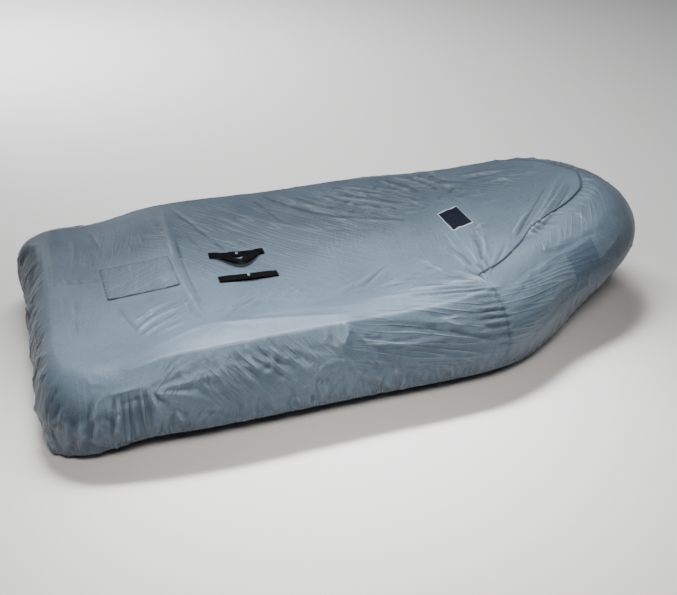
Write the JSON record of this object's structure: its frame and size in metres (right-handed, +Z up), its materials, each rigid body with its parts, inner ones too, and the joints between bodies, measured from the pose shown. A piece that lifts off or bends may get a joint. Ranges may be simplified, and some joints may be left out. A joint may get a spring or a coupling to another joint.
{
  "type": "boat cover",
  "caption": "Fitted cloth cover for a small inflatable dinghy: hollow shell over deck, sides and stern with a seamed bow, gathered hem, webbing handles and a sewn deck patch.",
  "frame": {"origin": "just under the middle of the top, where the boat's tubes and deck carry the cloth; the boat itself is left out", "axes": "+X to the bow, +Y to port, +Z up; the cover is longest along X and lowest along Z"},
  "size_m": [2.6795, 1.5649, 0.5045],
  "materials": {
    "slate_cloth": "coated woven polyester, slate blue-grey, soft sheen",
    "patch_cloth": "the same coated polyester, second layer",
    "black_webbing": "woven webbing, matt black",
    "navy_label": "woven label, navy, blank",
    "pale_plastic": "moulded, pale grey"
  },
  "bodies": {
    "root": {"main_panel": "slate_cloth", "bow_panel_starboard": "slate_cloth", "bow_panel_port": "slate_cloth", "deck_patch": "patch_cloth", "blank_label": "navy_label", "webbing_port_aft": "black_webbing", "webbing_port_fore": "black_webbing", "webbing_port_grip": "black_webbing", "keeper_port": "pale_plastic", "webbing_starboard_aft": "black_webbing", "webbing_starboard_fore": "black_webbing", "webbing_starboard_grip": "black_webbing", "keeper_starboard": "pale_plastic"}
  },
  "joints": []
}
